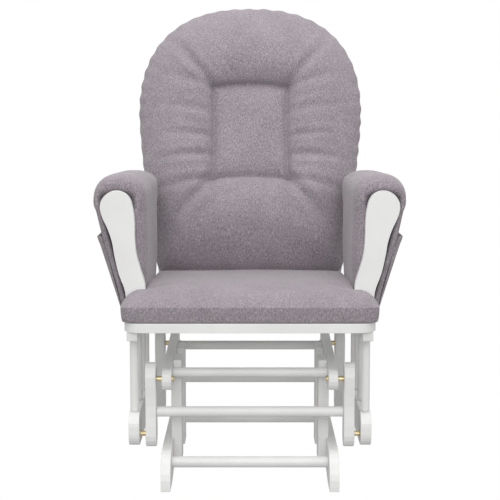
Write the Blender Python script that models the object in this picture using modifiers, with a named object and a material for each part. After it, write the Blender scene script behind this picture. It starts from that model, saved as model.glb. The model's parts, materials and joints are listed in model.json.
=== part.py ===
"""Glider nursery chair: a seat hung on four swing arms over a fixed base.

Metres, +Z up. The chair faces -Y and is symmetric about X = 0.
"left" is the -X side, as seen by someone who stands in front of the chair.
"""

import math

import bmesh
import bpy
from mathutils import Matrix, Vector

# ---------------------------------------------------------------- dimensions

# Fits
GAP = 0.0003             # between faces that touch on the real chair
HOLE_PLAY = 0.0005       # a pivot bolt in its hole, on the radius
OPEN_PIVOT_PLAY = 0.0020 # the front lower pivots, where the linkage is opened

# Base: two side frames joined by dowels
BASE_HALF = 0.182        # outer face of the feet and the base rails
BASE_BOARD = 0.020
FOOT_FRONT = -0.372
FOOT_REAR = 0.133
FOOT_HEIGHT = 0.076
FOOT_ARCH = 0.018        # the arched underside
FOOT_PAD = 0.075         # length of the flat that rests on the floor
FOOT_NOSE = 0.052
FOOT_EDGE = 0.010
UPRIGHT_BOARD = 0.022
UPRIGHT_WIDTH = 0.063
UPRIGHT_WAIST = 0.056
UPRIGHT_BOTTOM = 0.026
UPRIGHT_OVER_PIVOT = 0.028 # top of the uprights above the front upper pivot
UPRIGHT_PITCH = 0.139    # front upright to rear upright
LAP = 0.005              # how deep the uprights are halved over the boards
RAIL_HEIGHT = 0.044
RAIL_OVERHANG = 0.027    # rail beyond each pivot
FOOT_DOWEL = 0.0228
FOOT_DOWEL_Z = 0.046
FOOT_DOWEL_INSET = 0.063
BASE_DOWEL = 0.0200
BASE_DOWEL_OFF = 0.016   # from the face of the upright to the dowel's axis
RAIL_DOWEL_LIFT = 0.004  # rail dowels above the rail's middle line

# Swing linkage
SWING_CENTRE = -0.133    # middle of the linkage, front to rear
PIVOT_SPAN_TOP = 0.306
PIVOT_SPAN_LOW = 0.300
PIVOT_FRONT_Z = 0.217
PIVOT_RISE = 0.0164      # the rear upper pivot is this much higher
PIVOT_LOW_Z = 0.100
ARM_BOARD = 0.022
ARM_END = 0.027          # radius of the arm's ends
ARM_WAIST = 0.021        # half the arm's width half way up
ARM_HEAD = 0.008         # centre of the arm's head above the upper pivot
TIE_DOWEL = 0.0214
TIE_FRONT_RISE = 0.047   # front tie dowel above the lower pivot
TIE_REAR_RISE = 0.053
BOLT = 0.0080
SPACER = 0.0125          # length of the spacer between two boards
SPACER_DIAMETER = 0.0112
BOLT_HEAD = 0.0140
BOLT_HEAD_LONG = 0.0042
BOLT_END_INSET = 0.0010  # a bolt's plain end inside its board's face

# Seat carriage
LOW_RAIL_BOARD = 0.022
LOW_RAIL_HEIGHT = 0.070
LOW_RAIL_DROP = 0.022    # lower rail's bottom below the lower pivots
LOW_RAIL_NOSE = 0.027
LOW_RAIL_OVERHANG = 0.033
SPINDLE = 0.0178
SPINDLES = 4
SPINDLE_INSET = 0.029
SPINDLE_SHOULDER = 0.004
SIDE_RAIL_HEIGHT = 0.020
SIDE_RAIL_INSET = 0.017  # side rail's front end behind the seat's front edge
SEAT_TOP = 0.344         # top of the seat boards
SEAT_BOARD = 0.019
SEAT_FRONT = -0.354
SEAT_REAR = 0.121
SEAT_OVERHANG = 0.006    # front board beyond the lower rails
SEAT_CORNER = 0.040
FRONT_BOARD_DEEP = 0.084
SIDE_BOARD_WIDE = 0.040
REAR_BOARD_DEEP = 0.058
SLAT_WIDE = 0.060
SLAT_THICK = 0.012
SLATS = 3

# Back
RECLINE = math.radians(19.5)
BACK_Y = 0.1279          # front face of the hoop where it crosses the seat's top
BACK_PAST_BOARD = 0.004  # the hoop at its widest, beyond the seat boards
BACK_LOW_INSET = 0.048   # the hoop at the seat, inside the seat boards' edge
BACK_WIDE_AT = 0.403     # distances up the back's own slope
BACK_TOP_AT = 0.668
BACK_NARROWS = 1.34      # how the sides draw in below the widest place
BACK_CROWN = 2.4         # superellipse exponent of the top
HOOP_WIDE = 0.030
HOOP_THICK = 0.022
HOOP_FOOT = -0.018
BACK_RAIL_LOW = 0.020
BACK_RAIL_HIGH = 0.062
BACK_SLAT_WIDE = 0.055
BACK_SLAT_THICK = 0.010
BACK_SLAT_PITCH = 0.110
BACK_SLATS = 3

# Arms
PADDLE_SET_BACK = 0.060  # paddle's face behind the seat's front edge
PADDLE_BOARD = 0.020
PADDLE_HEAD = 0.033      # radius of the head
PADDLE_PAST_BOARD = 0.0165 # centre of the head beyond the seat boards' edge
PADDLE_RISE = 0.231      # centre of the head above the seat boards
PADDLE_FOOT_GAP = 0.0045 # paddle's foot from the seat cushion's side
ARMREST_RISE = 0.246     # top of the armrest above the seat boards
ARMREST_THICK = 0.022
ARMREST_INSET = 0.0215   # armrest's outer edge inside the pad's outer face
ARMREST_BEHIND = 0.018   # armrest beyond the front face of the hoop
PAD_WIDE = 0.110
PAD_CUSHION_GAP = 0.0015 # pad's inner face from the seat cushion's side
PAD_OVER_REST = 0.042    # top of the pad above the armrest
PAD_SHOULDER_DROP = 0.005 # where the pad's sides begin, below the armrest's top
PAD_FLAP = 0.014
PAD_CAVITY_PLAY = 0.0015
PAD_CAVITY_CORNER = 0.012
PAD_INNER_CLEAR = 0.022  # lower edges of the pad's flaps above the seat boards
PAD_OUTER_CLEAR = 0.008
PAD_LOW_PAST_BOARD = 0.004 # foot of the outer flap beyond the seat boards' edge
PAD_REAR_CLEAR = 0.010   # pad's rear end in front of the back cushion
POCKET_MOUTH_RISE = 0.171 # pocket's mouth and bottom above the seat boards
POCKET_LOW_RISE = 0.009
POCKET_MOUTH_OPEN = 0.0140
POCKET_LOW_THICK = 0.0055
POCKET_WALL = 0.0030
POCKET_LONG = 0.200
POCKET_INSET = 0.006

# Cushions
SEAT_PAD_THICK = 0.048
SEAT_PAD_INSET = 0.045   # cushion's sides inside the seat boards' edge
SEAT_PAD_PAST = 0.005    # cushion's ears beyond the seat boards' edge
SEAT_PAD_SET_BACK = 0.003 # cushion's front behind the front board's edge
SEAT_PAD_REAR = 0.079
SEAT_PAD_EDGE = 0.0072
SEAT_PAD_CORNER = 0.020
SEAT_PAD_NOTCH = 0.003   # chamfers where the cushion wraps round the paddles
BACK_PAD_THICK = 0.085
BACK_PAD_INSET = 0.003
BACK_PAD_LOW = 0.034
BACK_PAD_EDGE = 0.024
CUSHION_GAP = 0.0010

# Worked out from the above
ARM_INNER = BASE_HALF + SPACER
ARM_OUTER = ARM_INNER + ARM_BOARD
LOW_RAIL_INNER = ARM_OUTER + SPACER
LOW_RAIL_OUTER = LOW_RAIL_INNER + LOW_RAIL_BOARD
LOW_RAIL_X = (LOW_RAIL_INNER + LOW_RAIL_OUTER) / 2
BASE_INNER = BASE_HALF - BASE_BOARD
BOARD_HALF = LOW_RAIL_OUTER + SEAT_OVERHANG
UPRIGHT_TOP = PIVOT_FRONT_Z + UPRIGHT_OVER_PIVOT
BACK_HALF = BOARD_HALF + BACK_PAST_BOARD
BACK_LOW_HALF = BOARD_HALF - BACK_LOW_INSET
SEAT_UNDER = SEAT_TOP - SEAT_BOARD
SIDE_RAIL_LOW = SEAT_UNDER - SIDE_RAIL_HEIGHT
LOW_RAIL_LOW = PIVOT_LOW_Z - LOW_RAIL_DROP
LOW_RAIL_TOP = LOW_RAIL_LOW + LOW_RAIL_HEIGHT
PADDLE_FRONT = SEAT_FRONT + PADDLE_SET_BACK
PADDLE_REAR = PADDLE_FRONT + PADDLE_BOARD
PADDLE_X = BOARD_HALF + PADDLE_PAST_BOARD
PADDLE_Z = SEAT_TOP + PADDLE_RISE
SEAT_PAD_FRONT = SEAT_FRONT + SEAT_PAD_SET_BACK
SEAT_PAD_HALF = BOARD_HALF - SEAT_PAD_INSET
SEAT_PAD_EAR = BOARD_HALF + SEAT_PAD_PAST
ARMREST_TOP = SEAT_TOP + ARMREST_RISE
PAD_INNER = SEAT_PAD_HALF + PAD_CUSHION_GAP
PAD_OUTER = PAD_INNER + PAD_WIDE
PAD_MIDDLE = (PAD_INNER + PAD_OUTER) / 2
PAD_HALF = PAD_WIDE / 2
PAD_TOP = ARMREST_TOP + PAD_OVER_REST
PAD_SHOULDER = ARMREST_TOP - PAD_SHOULDER_DROP
PAD_INNER_LOW = SEAT_TOP + PAD_INNER_CLEAR
PAD_OUTER_LOW = SEAT_TOP + PAD_OUTER_CLEAR
ARMREST_OUTER = PAD_OUTER - ARMREST_INSET
POCKET_MOUTH = SEAT_TOP + POCKET_MOUTH_RISE
POCKET_LOW = SEAT_TOP + POCKET_LOW_RISE

UP_FRONT = Vector((0, SWING_CENTRE - PIVOT_SPAN_TOP / 2, PIVOT_FRONT_Z))
UP_REAR = Vector((0, SWING_CENTRE + PIVOT_SPAN_TOP / 2, PIVOT_FRONT_Z + PIVOT_RISE))
LOW_FRONT = Vector((0, SWING_CENTRE - PIVOT_SPAN_LOW / 2, PIVOT_LOW_Z))
LOW_REAR = Vector((0, SWING_CENTRE + PIVOT_SPAN_LOW / 2, PIVOT_LOW_Z))

SIDES = (("left", -1), ("right", 1))

# Finishes: base colour, roughness, metallic
WHITE_PAINT = ("white_paint", (0.83, 0.83, 0.82, 1), 0.38, 0.0)
BRASS = ("brass_plate", (0.72, 0.56, 0.33, 1), 0.32, 1.0)
FABRIC = ("heather_fabric", (0.235, 0.205, 0.225, 1), 0.95, 0.0)

# ------------------------------------------------------------------- helpers

for thing in list(bpy.data.objects):
    bpy.data.objects.remove(thing, do_unlink=True)

CHAIR = bpy.data.collections.new("glider_nursery_chair")
CUTTERS = bpy.data.collections.new("cutters")
bpy.context.scene.collection.children.link(CHAIR)
bpy.context.scene.collection.children.link(CUTTERS)
CUTTERS.hide_render = True


def place(y_axis_to, z_axis_to, origin):
    """A matrix whose local Y and Z point along two world directions."""
    y_axis = Vector(y_axis_to).normalized()
    z_axis = Vector(z_axis_to).normalized()
    turn = Matrix((y_axis.cross(z_axis), y_axis, z_axis)).transposed()
    return Matrix.Translation(origin) @ turn.to_4x4()


def side_view(x):
    """Outlines drawn as (world Y, world Z), thickness along X."""
    return place((0, 0, 1), (1, 0, 0), (x, 0, 0))


def front_view(y):
    """Outlines drawn as (world X, world Z), thickness along Y."""
    return place((0, 0, 1), (0, -1, 0), (0, y, 0))


def plan_view(z):
    """Outlines drawn as (world X, world Y), thickness along Z."""
    return Matrix.Translation((0, 0, z))


def back_view(forward):
    """Outlines drawn on the reclined back, this far in front of the hoop's face."""
    up = Vector((0, math.sin(RECLINE), math.cos(RECLINE)))
    out = Vector((0, -math.cos(RECLINE), math.sin(RECLINE)))
    return place(up, out, Vector((0, BACK_Y, SEAT_TOP)) + out * forward)


def arc(centre, radii, start, end, steps=8):
    """Points along an ellipse's arc, angles in degrees."""
    points = []
    for step in range(steps + 1):
        angle = math.radians(start + (end - start) * step / steps)
        points.append((centre[0] + radii[0] * math.cos(angle),
                       centre[1] + radii[1] * math.sin(angle)))
    return points


def mirror(points, side):
    """The same outline on the left or on the right."""
    return [(side * x, y) for x, y in points]


def plate(name, outline, thickness, where, smooth_curve=False, corners=()):
    """A flat outline given a thickness: a board or a pad."""
    curve = bpy.data.curves.new(name, "CURVE")
    curve.dimensions = "2D"
    curve.fill_mode = "BOTH"
    curve.extrude = thickness / 2
    curve.resolution_u = 4
    spline = curve.splines.new("BEZIER" if smooth_curve else "POLY")
    if smooth_curve:
        spline.bezier_points.add(len(outline) - 1)
        for index, (point, spot) in enumerate(zip(spline.bezier_points, outline)):
            kind = "VECTOR" if index in corners else "AUTO"
            point.co = (spot[0], spot[1], 0)
            point.handle_left_type = kind
            point.handle_right_type = kind
    else:
        spline.points.add(len(outline) - 1)
        for point, spot in zip(spline.points, outline):
            point.co = (spot[0], spot[1], 0, 1)
    spline.use_cyclic_u = True
    drawing = bpy.data.objects.new(name + "_curve", curve)
    CHAIR.objects.link(drawing)
    bpy.context.view_layer.update()
    mesh = bpy.data.meshes.new_from_object(drawing.evaluated_get(bpy.context.evaluated_depsgraph_get()))
    bpy.data.objects.remove(drawing)
    return solid(name, mesh, where)


def solid(name, mesh, where):
    """Close a mesh and put it in the chair."""
    work = bmesh.new()
    work.from_mesh(mesh)
    bmesh.ops.remove_doubles(work, verts=work.verts, dist=0.00002)
    bmesh.ops.recalc_face_normals(work, faces=work.faces)
    work.to_mesh(mesh)
    work.free()
    mesh.name = name
    piece = bpy.data.objects.new(name, mesh)
    piece.matrix_world = where
    CHAIR.objects.link(piece)
    return piece


def box(name, low, high):
    """A board given by two opposite corners."""
    mesh = bpy.data.meshes.new(name)
    work = bmesh.new()
    bmesh.ops.create_cube(work, size=1)
    size = Vector(high) - Vector(low)
    bmesh.ops.scale(work, vec=size, verts=work.verts)
    work.to_mesh(mesh)
    work.free()
    return solid(name, mesh, Matrix.Translation((Vector(low) + Vector(high)) / 2))


def turned(name, profile, where, sides=20):
    """A turned piece: (radius, height) pairs from the top down, spun about local Z."""
    mesh = bpy.data.meshes.new(name)
    work = bmesh.new()
    verts = [work.verts.new((radius, 0, height)) for radius, height in profile]
    for upper, lower in zip(verts, verts[1:]):
        work.edges.new((upper, lower))
    work.to_mesh(mesh)
    work.free()
    piece = bpy.data.objects.new(name, mesh)
    piece.matrix_world = where
    CHAIR.objects.link(piece)
    spin = piece.modifiers.new("turn", "SCREW")
    spin.steps = sides
    spin.render_steps = sides
    spin.use_merge_vertices = True
    spin.merge_threshold = 0.00002
    spin.use_smooth_shade = True
    return piece


def across(y, z, x=0.0):
    """A turned piece's axis along world X."""
    return place((0, 1, 0), (1, 0, 0), (x, y, z))


def dowel(name, diameter, half_length, y, z):
    """A plain round cross-piece between two boards."""
    radius = diameter / 2
    profile = ((0, half_length), (radius, half_length), (radius, -half_length), (0, -half_length))
    return turned(name, profile, across(y, z), sides=24)


def cut(piece, cutter):
    """Take a cutter's shape out of a piece."""
    for collection in cutter.users_collection:
        collection.objects.unlink(cutter)
    CUTTERS.objects.link(cutter)
    cutter.hide_render = True
    cutter.display_type = "WIRE"
    boolean = piece.modifiers.new("cut", "BOOLEAN")
    boolean.operation = "DIFFERENCE"
    boolean.solver = "EXACT"
    boolean.object = cutter


def bore(piece, name, radius, y, z, x_from, x_to):
    """A round hole along X."""
    half = abs(x_to - x_from) / 2
    profile = ((0, half), (radius, half), (radius, -half), (0, -half))
    cut(piece, turned(name, profile, across(y, z, (x_from + x_to) / 2), sides=20))


def ease(piece, width, segments=2):
    """Round over the edges, as a router does."""
    bevel = piece.modifiers.new("round_over", "BEVEL")
    bevel.width = width
    bevel.segments = segments
    bevel.limit_method = "ANGLE"
    bevel.angle_limit = math.radians(40)
    bevel.harden_normals = False
    return piece


def finish(piece, look):
    """Give a piece its own material."""
    kind, colour, roughness, metallic = look
    material = bpy.data.materials.new(piece.name + "_" + kind)
    material.use_nodes = True
    shader = material.node_tree.nodes["Principled BSDF"]
    shader.inputs["Base Color"].default_value = colour
    shader.inputs["Roughness"].default_value = roughness
    shader.inputs["Metallic"].default_value = metallic
    piece.data.materials.clear()
    piece.data.materials.append(material)
    return piece


def axis_empty(name, spot):
    """An empty on a joint's axis, the parent of what turns about it."""
    empty = bpy.data.objects.new(name, None)
    empty.location = spot
    empty.empty_display_size = 0.05
    CHAIR.objects.link(empty)
    return empty


def hang(pieces, empty):
    """Parent pieces to an empty and leave them where they are."""
    bpy.context.view_layer.update()
    for piece in pieces:
        piece.parent = empty
        piece.matrix_parent_inverse = empty.matrix_world.inverted()


# ---------------------------------------------------------------------- base

UPRIGHT_MIDDLES = (("front", SWING_CENTRE - UPRIGHT_PITCH / 2),
                   ("rear", SWING_CENTRE + UPRIGHT_PITCH / 2))


def foot(side_name, side):
    """A sled foot: rounded noses, and an underside arched between two flats."""
    nose_z = FOOT_HEIGHT - FOOT_EDGE
    front_flat = FOOT_FRONT + FOOT_PAD
    rear_flat = FOOT_REAR - FOOT_PAD
    outline = [(FOOT_FRONT, 0.0)]
    outline += arc((FOOT_FRONT + FOOT_NOSE, FOOT_EDGE), (FOOT_NOSE, nose_z), 180, 90)
    outline += arc((FOOT_REAR - FOOT_NOSE, FOOT_EDGE), (FOOT_NOSE, nose_z), 90, 0)
    outline += [(FOOT_REAR, 0.0), (rear_flat, 0.0)]
    middle = (front_flat + rear_flat) / 2
    half = (rear_flat - front_flat) / 2
    for step in range(1, 10):
        along = math.cos(math.pi * step / 10)
        outline.append((middle + half * along, FOOT_ARCH * (1 - along ** 2)))
    outline.append((front_flat, 0.0))
    x = side * (BASE_HALF - BASE_BOARD / 2)
    board = plate("foot_" + side_name, outline, BASE_BOARD, side_view(x))
    return finish(ease(board, 0.0025), WHITE_PAINT)


def rail_slope():
    """Direction of the base rails, from the front pivot to the rear one."""
    return (UP_REAR - UP_FRONT).normalized()


def base_rail(side_name, side):
    """A round-nosed rail that carries both upper pivots."""
    slope = rail_slope()
    span = (UP_REAR - UP_FRONT).length
    half = RAIL_HEIGHT / 2
    straight = RAIL_OVERHANG - half
    outline = arc((span + straight, 0), (half, half), -90, 90)
    outline += arc((-straight, 0), (half, half), 90, 270)
    up = Vector((0, -slope.z, slope.y))
    x = side * (BASE_HALF - BASE_BOARD / 2)
    where = place(up, (1, 0, 0), (x, UP_FRONT.y, UP_FRONT.z))
    rail = ease(plate("base_rail_" + side_name, outline, BASE_BOARD, where), 0.0025)
    for end, pivot in (("front", UP_FRONT), ("rear", UP_REAR)):
        bore(rail, "hole_base_rail_" + end + "_" + side_name, BOLT / 2 + HOLE_PLAY,
             pivot.y, pivot.z, x - BASE_BOARD, x + BASE_BOARD)
    return finish(rail, WHITE_PAINT)


def upright(end, middle, side_name, side):
    """A waisted post, halved over the inner faces of the foot and the base rail."""
    half = UPRIGHT_WIDTH / 2
    waist = UPRIGHT_WAIST / 2
    steps = 8
    edge = []
    for step in range(steps + 1):
        share = step / steps
        width = waist + (half - waist) * abs(2 * share - 1) ** 2
        edge.append((width, UPRIGHT_BOTTOM + (UPRIGHT_TOP - UPRIGHT_BOTTOM) * share))
    outline = [(middle + width, z) for width, z in edge]
    outline += [(middle - width, z) for width, z in reversed(edge)]
    outer = BASE_INNER + LAP
    x = side * (outer - UPRIGHT_BOARD / 2)
    name = "upright_" + end + "_" + side_name
    post = ease(plate(name, outline, UPRIGHT_BOARD, side_view(x)), 0.0016)
    lap_face = BASE_INNER - GAP
    rail_middle = UP_FRONT.z + rail_slope().z / rail_slope().y * (middle - half - UP_FRONT.y)
    laps = (("foot", 0.0, FOOT_HEIGHT + GAP),
            ("rail", rail_middle - RAIL_HEIGHT / 2 - GAP, UPRIGHT_TOP + RAIL_HEIGHT))
    low_x, high_x = sorted((side * lap_face, side * (outer + BASE_BOARD)))
    for what, low, high in laps:
        cut(post, box("lap_" + what + "_" + end + "_" + side_name,
                      (low_x, middle - UPRIGHT_WIDTH, low),
                      (high_x, middle + UPRIGHT_WIDTH, high)))
    return finish(post, WHITE_PAINT)


def base_dowels():
    """Two dowels between the feet and two between the base rails."""
    half = BASE_INNER - GAP
    reach = UPRIGHT_WIDTH / 2 + BASE_DOWEL_OFF
    slope = rail_slope()
    front_y = UPRIGHT_MIDDLES[0][1] - reach
    rear_y = UPRIGHT_MIDDLES[1][1] + reach
    made = [dowel("foot_dowel_front", FOOT_DOWEL, half, FOOT_FRONT + FOOT_DOWEL_INSET, FOOT_DOWEL_Z),
            dowel("foot_dowel_rear", FOOT_DOWEL, half, FOOT_REAR - FOOT_DOWEL_INSET, FOOT_DOWEL_Z)]
    for end, y in (("front", front_y), ("rear", rear_y)):
        z = UP_FRONT.z + (y - UP_FRONT.y) * slope.z / slope.y + RAIL_DOWEL_LIFT
        made.append(dowel("rail_dowel_" + end, BASE_DOWEL, half, y, z))
    for piece in made:
        finish(piece, WHITE_PAINT)
    return made


def pivot_bolt(name, side, pivot, inner_face, outer_face, headed):
    """A bolt through two boards, with a spacer between them.

    The faces are the inner board's inner side and the outer board's outer side.
    The outer end stops short of its board's face, and so does an inner end with no head.
    """
    bolt = BOLT / 2
    spacer = SPACER_DIAMETER / 2
    head = BOLT_HEAD / 2
    inner_board = BASE_BOARD if headed else ARM_BOARD
    spacer_in = inner_face + inner_board + GAP
    spacer_out = spacer_in + SPACER - 2 * GAP
    outer_end = outer_face - BOLT_END_INSET
    profile = ((0, outer_end), (bolt, outer_end), (bolt, spacer_out), (spacer, spacer_out),
               (spacer, spacer_in), (bolt, spacer_in))
    if headed:
        head_in = inner_face - GAP
        profile += ((bolt, head_in), (head, head_in), (head, head_in - BOLT_HEAD_LONG * 0.6),
                    (head * 0.75, head_in - BOLT_HEAD_LONG), (0, head_in - BOLT_HEAD_LONG))
    else:
        profile += ((bolt, inner_face + BOLT_END_INSET), (0, inner_face + BOLT_END_INSET))
    where = place((0, side, 0), (side, 0, 0), (0, pivot.y, pivot.z))
    return finish(turned(name, profile, where, sides=16), BRASS)


# ------------------------------------------------------------- swing linkage


def swing_arm(end, upper, lower, side_name, side):
    """A dog-bone arm that hangs from the base rail."""
    length = (upper - lower).length
    head_z = ARM_HEAD
    outline = arc((0, head_z), (ARM_END, ARM_END), 0, 180)
    steps = 6
    drop = head_z + length
    left_edge = []
    for step in range(1, steps):
        share = step / steps
        narrow = math.sin(math.pi * share) ** 2
        left_edge.append((-(ARM_END - (ARM_END - ARM_WAIST) * narrow), head_z - drop * share))
    outline += left_edge
    outline += arc((0, -length), (ARM_END, ARM_END), 180, 360)
    outline += [(-x, z) for x, z in reversed(left_edge)]
    x = side * (ARM_INNER + ARM_BOARD / 2)
    where = place(upper - lower, (1, 0, 0), (x, upper.y, upper.z))
    arm = ease(plate("swing_arm_" + end + "_" + side_name, outline, ARM_BOARD, where), 0.0025)
    open_play = OPEN_PIVOT_PLAY if end == "front" else HOLE_PLAY
    for level, pivot, play in (("upper", upper, HOLE_PLAY), ("lower", lower, open_play)):
        bore(arm, "hole_arm_" + end + "_" + level + "_" + side_name, BOLT / 2 + play,
             pivot.y, pivot.z, x - ARM_BOARD, x + ARM_BOARD)
    return finish(arm, WHITE_PAINT)


def tie_dowel(end, upper, lower, rise):
    """The dowel that makes a pair of arms swing as one."""
    spot = lower + (upper - lower).normalized() * rise
    piece = dowel("tie_dowel_" + end, TIE_DOWEL, ARM_INNER - GAP, spot.y, spot.z)
    return finish(piece, WHITE_PAINT)


# -------------------------------------------------------------- seat carriage


def low_rail(side_name, side):
    """The outermost rail, low down, that carries the lower pivots."""
    front = LOW_FRONT.y - LOW_RAIL_OVERHANG
    rear = LOW_REAR.y + LOW_RAIL_OVERHANG
    nose = (LOW_RAIL_NOSE, LOW_RAIL_NOSE)
    high = LOW_RAIL_TOP - LOW_RAIL_NOSE
    low = LOW_RAIL_LOW + LOW_RAIL_NOSE
    outline = arc((rear - LOW_RAIL_NOSE, low), nose, -90, 0, 6)
    outline += arc((rear - LOW_RAIL_NOSE, high), nose, 0, 90, 6)
    outline += arc((front + LOW_RAIL_NOSE, high), nose, 90, 180, 6)
    outline += arc((front + LOW_RAIL_NOSE, low), nose, 180, 270, 6)
    x = side * LOW_RAIL_X
    rail = ease(plate("low_rail_" + side_name, outline, LOW_RAIL_BOARD, side_view(x)), 0.0025)
    for end, pivot in (("front", LOW_FRONT), ("rear", LOW_REAR)):
        bore(rail, "hole_low_rail_" + end + "_" + side_name, BOLT / 2 + HOLE_PLAY,
             pivot.y, pivot.z, x - LOW_RAIL_BOARD, x + LOW_RAIL_BOARD)
    return finish(rail, WHITE_PAINT)


def spindle(number, y, side_name, side):
    """A turned spindle with a small shoulder at each end."""
    radius = SPINDLE / 2
    neck = radius - 0.0018
    top = SIDE_RAIL_LOW - GAP
    bottom = LOW_RAIL_TOP + GAP
    profile = ((0, top), (neck, top), (neck, top - SPINDLE_SHOULDER * 0.4),
               (radius, top - SPINDLE_SHOULDER), (radius, bottom + SPINDLE_SHOULDER),
               (neck, bottom + SPINDLE_SHOULDER * 0.4), (neck, bottom), (0, bottom))
    where = Matrix.Translation((side * LOW_RAIL_X, y, 0))
    piece = turned("spindle_" + side_name + "_" + str(number), profile, where, sides=20)
    return finish(piece, WHITE_PAINT)


def side_rail(side_name, side):
    """The rail under the edge of the seat that the spindles stand up into."""
    low_x, high_x = sorted((side * LOW_RAIL_INNER, side * LOW_RAIL_OUTER))
    rail = box("side_rail_" + side_name, (low_x, SEAT_FRONT + SIDE_RAIL_INSET, SIDE_RAIL_LOW),
               (high_x, SEAT_REAR, SEAT_UNDER - GAP))
    return finish(ease(rail, 0.0020), WHITE_PAINT)


def seat_boards():
    """The flat frame under the cushion, with three slats across it."""
    half = BOARD_HALF
    front_rear = SEAT_FRONT + FRONT_BOARD_DEEP
    corner = (SEAT_CORNER, SEAT_CORNER)
    outline = [(half, front_rear), (-half, front_rear)]
    outline += arc((-half + SEAT_CORNER, SEAT_FRONT + SEAT_CORNER), corner, 180, 270)
    outline += arc((half - SEAT_CORNER, SEAT_FRONT + SEAT_CORNER), corner, 270, 360)
    middle_z = SEAT_TOP - SEAT_BOARD / 2
    made = [plate("seat_board_front", outline, SEAT_BOARD, plan_view(middle_z))]
    inner = LOW_RAIL_OUTER - SIDE_BOARD_WIDE
    for side_name, side in SIDES:
        low_x, high_x = sorted((side * inner, side * LOW_RAIL_OUTER))
        made.append(box("seat_board_" + side_name, (low_x, front_rear + GAP, SEAT_UNDER),
                        (high_x, SEAT_REAR, SEAT_TOP)))
    reach = inner - GAP
    made.append(box("seat_board_rear", (-reach, SEAT_REAR - REAR_BOARD_DEEP, SEAT_UNDER),
                    (reach, SEAT_REAR, SEAT_TOP)))
    clear = SEAT_REAR - REAR_BOARD_DEEP - front_rear
    for number in range(SLATS):
        y = front_rear + clear * (number + 1) / (SLATS + 1)
        made.append(box("seat_slat_" + str(number + 1),
                        (-reach, y - SLAT_WIDE / 2, SEAT_TOP - SLAT_THICK),
                        (reach, y + SLAT_WIDE / 2, SEAT_TOP)))
    for piece in made:
        finish(ease(piece, 0.0025), WHITE_PAINT)
    return made


# ---------------------------------------------------------------------- back


def back_half(along, inset=0.0):
    """Half the back's width this far up its slope."""
    if along <= BACK_WIDE_AT:
        share = (BACK_WIDE_AT - max(along, 0.0)) / BACK_WIDE_AT
        return BACK_HALF - (BACK_HALF - BACK_LOW_HALF) * share ** BACK_NARROWS - inset
    share = (along - BACK_WIDE_AT) / (BACK_TOP_AT - inset - BACK_WIDE_AT)
    return (BACK_HALF - inset) * max(0.0, 1 - share ** BACK_CROWN) ** (1 / BACK_CROWN)


def back_edge(low, inset, crown_steps=14, side_steps=7):
    """The back's outline from its lower right, over the top, to its lower left."""
    right = []
    for step in range(side_steps):
        along = low + (BACK_WIDE_AT - low) * step / side_steps
        right.append((back_half(along, inset), along))
    for step in range(crown_steps):
        angle = math.radians(90 * step / crown_steps)
        x = (BACK_HALF - inset) * math.cos(angle) ** (2 / BACK_CROWN)
        rise = (BACK_TOP_AT - inset - BACK_WIDE_AT) * math.sin(angle) ** (2 / BACK_CROWN)
        right.append((x, BACK_WIDE_AT + rise))
    top = [(0.0, BACK_TOP_AT - inset)]
    return right + top + [(-x, along) for x, along in reversed(right)]


def crown_at(x, inset):
    """How far up the slope the crown is at this distance from the middle."""
    share = abs(x) / (BACK_HALF - inset)
    rise = BACK_TOP_AT - inset - BACK_WIDE_AT
    return BACK_WIDE_AT + rise * (1 - share ** BACK_CROWN) ** (1 / BACK_CROWN)


def back_frame():
    """A hoop, the rail across its legs, and three slats screwed to its front."""
    outline = back_edge(HOOP_FOOT, 0.0) + back_edge(HOOP_FOOT, HOOP_WIDE)[::-1]
    made = [plate("back_hoop", outline, HOOP_THICK, back_view(-HOOP_THICK / 2))]
    low_inner = back_half(BACK_RAIL_LOW, HOOP_WIDE) - GAP
    high_inner = back_half(BACK_RAIL_HIGH, HOOP_WIDE) - GAP
    rail = [(low_inner, BACK_RAIL_LOW), (high_inner, BACK_RAIL_HIGH),
            (-high_inner, BACK_RAIL_HIGH), (-low_inner, BACK_RAIL_LOW)]
    made.append(plate("back_rail_low", rail, HOOP_THICK, back_view(-HOOP_THICK / 2)))
    for number in range(BACK_SLATS):
        x = (number - (BACK_SLATS - 1) / 2) * BACK_SLAT_PITCH
        half = BACK_SLAT_WIDE / 2
        top = crown_at(abs(x) + half, HOOP_WIDE * 0.35)
        low = BACK_RAIL_LOW + 0.004
        slat = [(x - half, low), (x + half, low), (x + half, top), (x - half, top)]
        forward = GAP + BACK_SLAT_THICK / 2
        made.append(plate("back_slat_" + str(number + 1), slat, BACK_SLAT_THICK, back_view(forward)))
    for piece in made:
        finish(ease(piece, 0.0025), WHITE_PAINT)
    return made


# ---------------------------------------------------------------------- arms


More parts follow.
